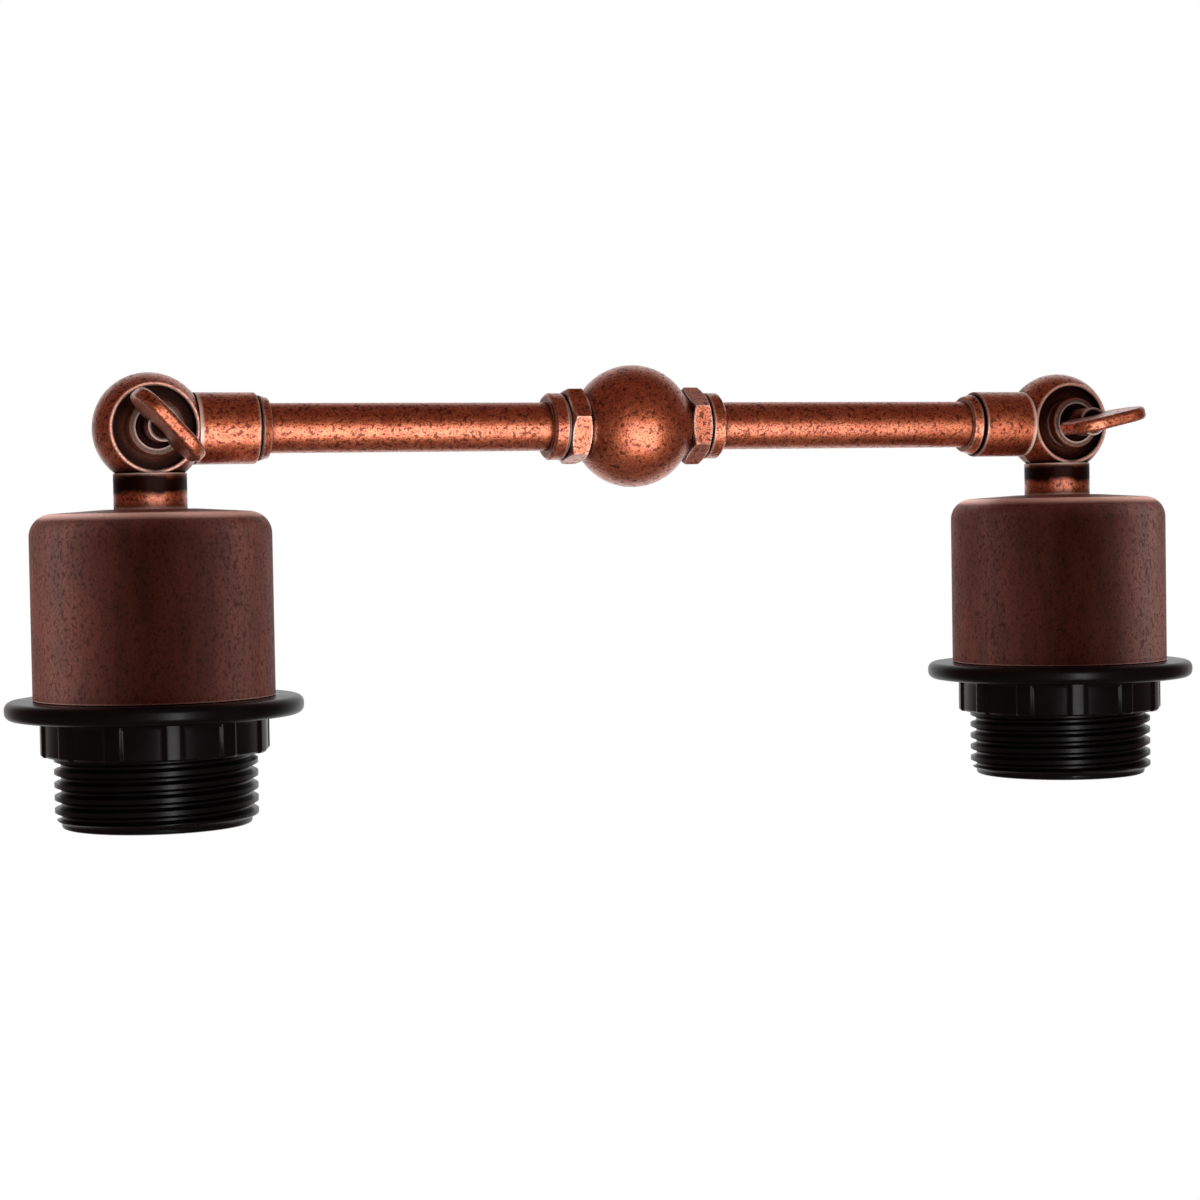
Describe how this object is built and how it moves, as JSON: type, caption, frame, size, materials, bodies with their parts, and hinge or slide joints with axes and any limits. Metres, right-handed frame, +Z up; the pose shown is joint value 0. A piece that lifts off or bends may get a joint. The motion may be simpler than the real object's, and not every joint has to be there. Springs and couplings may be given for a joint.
{
  "type": "double lampholder wall light bar",
  "caption": "Wall light bar in antique copper: a centre ball, tubes and tilting knuckles that carry cups with screw lampholders and shade rings.",
  "frame": {"origin": "centre of the mouth of the rear threaded port, where the wall stem enters the ball", "axes": "+Y out of the rear port towards the wall, +X along the bar, +Z up"},
  "size_m": [0.26, 0.058, 0.0902],
  "materials": {
    "copper_finish": "bright antique copper with dark speckle",
    "cup_finish": "dark brushed antique copper with fine speckle",
    "black_moulding": "semi-gloss black moulding",
    "dome_moulding": "matt black moulding",
    "insulator": "off-white fired insulator",
    "contact_brass": "rolled brass",
    "plated_steel": "zinc plated steel"
  },
  "bodies": {
    "bar": {"centre_ball": "copper_finish", "arm_tube_left": "copper_finish", "arm_tube_right": "copper_finish", "lock_nut_left": "copper_finish", "lock_nut_right": "copper_finish", "tube_collar_left": "copper_finish", "tube_collar_right": "copper_finish", "knuckle_rear_left": "copper_finish", "knuckle_rear_right": "copper_finish"},
    "holder_left": {"knuckle_front_left": "copper_finish", "spring_washer_left": "plated_steel", "holder_cup_left": "cup_finish", "cup_nipple_left": "plated_steel", "nipple_nut_left": "plated_steel", "holder_dome_left": "dome_moulding", "terminal_block_left": "insulator", "centre_contact_left": "contact_brass", "side_contact_left": "contact_brass", "terminal_screws_left": "plated_steel", "screw_shell_left": "contact_brass", "socket_skirt_left": "black_moulding"},
    "thumb_left": {"thumb_screw_left": "copper_finish"},
    "ring_left": {"shade_ring_left": "black_moulding"},
    "holder_right": {"knuckle_front_right": "copper_finish", "spring_washer_right": "plated_steel", "holder_cup_right": "cup_finish", "cup_nipple_right": "plated_steel", "nipple_nut_right": "plated_steel", "holder_dome_right": "dome_moulding", "terminal_block_right": "insulator", "centre_contact_right": "contact_brass", "side_contact_right": "contact_brass", "terminal_screws_right": "plated_steel", "screw_shell_right": "contact_brass", "socket_skirt_right": "black_moulding"},
    "thumb_right": {"thumb_screw_right": "copper_finish"},
    "ring_right": {"shade_ring_right": "black_moulding"}
  },
  "joints": [
    {"name": "tilt_left", "type": "hinge", "parent": "bar", "child": "holder_left", "pos_m": [-0.101, -0.011, 0], "axis": [0, 1, 0], "range_deg": [-10, 190]},
    {"name": "clamp_left", "type": "hinge", "parent": "bar", "child": "thumb_left", "pos_m": [-0.101, -0.011, 0], "axis": [0, -1, 0], "range_deg": [0, 360]},
    {"name": "ring_left_travel", "type": "slide", "parent": "holder_left", "child": "ring_left", "axis": [0, 0, -1], "range_m": [0, 0.02]},
    {"name": "tilt_right", "type": "hinge", "parent": "bar", "child": "holder_right", "pos_m": [0.101, -0.011, 0], "axis": [0, -1, 0], "range_deg": [-10, 190]},
    {"name": "clamp_right", "type": "hinge", "parent": "bar", "child": "thumb_right", "pos_m": [0.101, -0.011, 0], "axis": [0, -1, 0], "range_deg": [0, 360]},
    {"name": "ring_right_travel", "type": "slide", "parent": "holder_right", "child": "ring_right", "axis": [0, 0, -1], "range_m": [0, 0.02]}
  ]
}
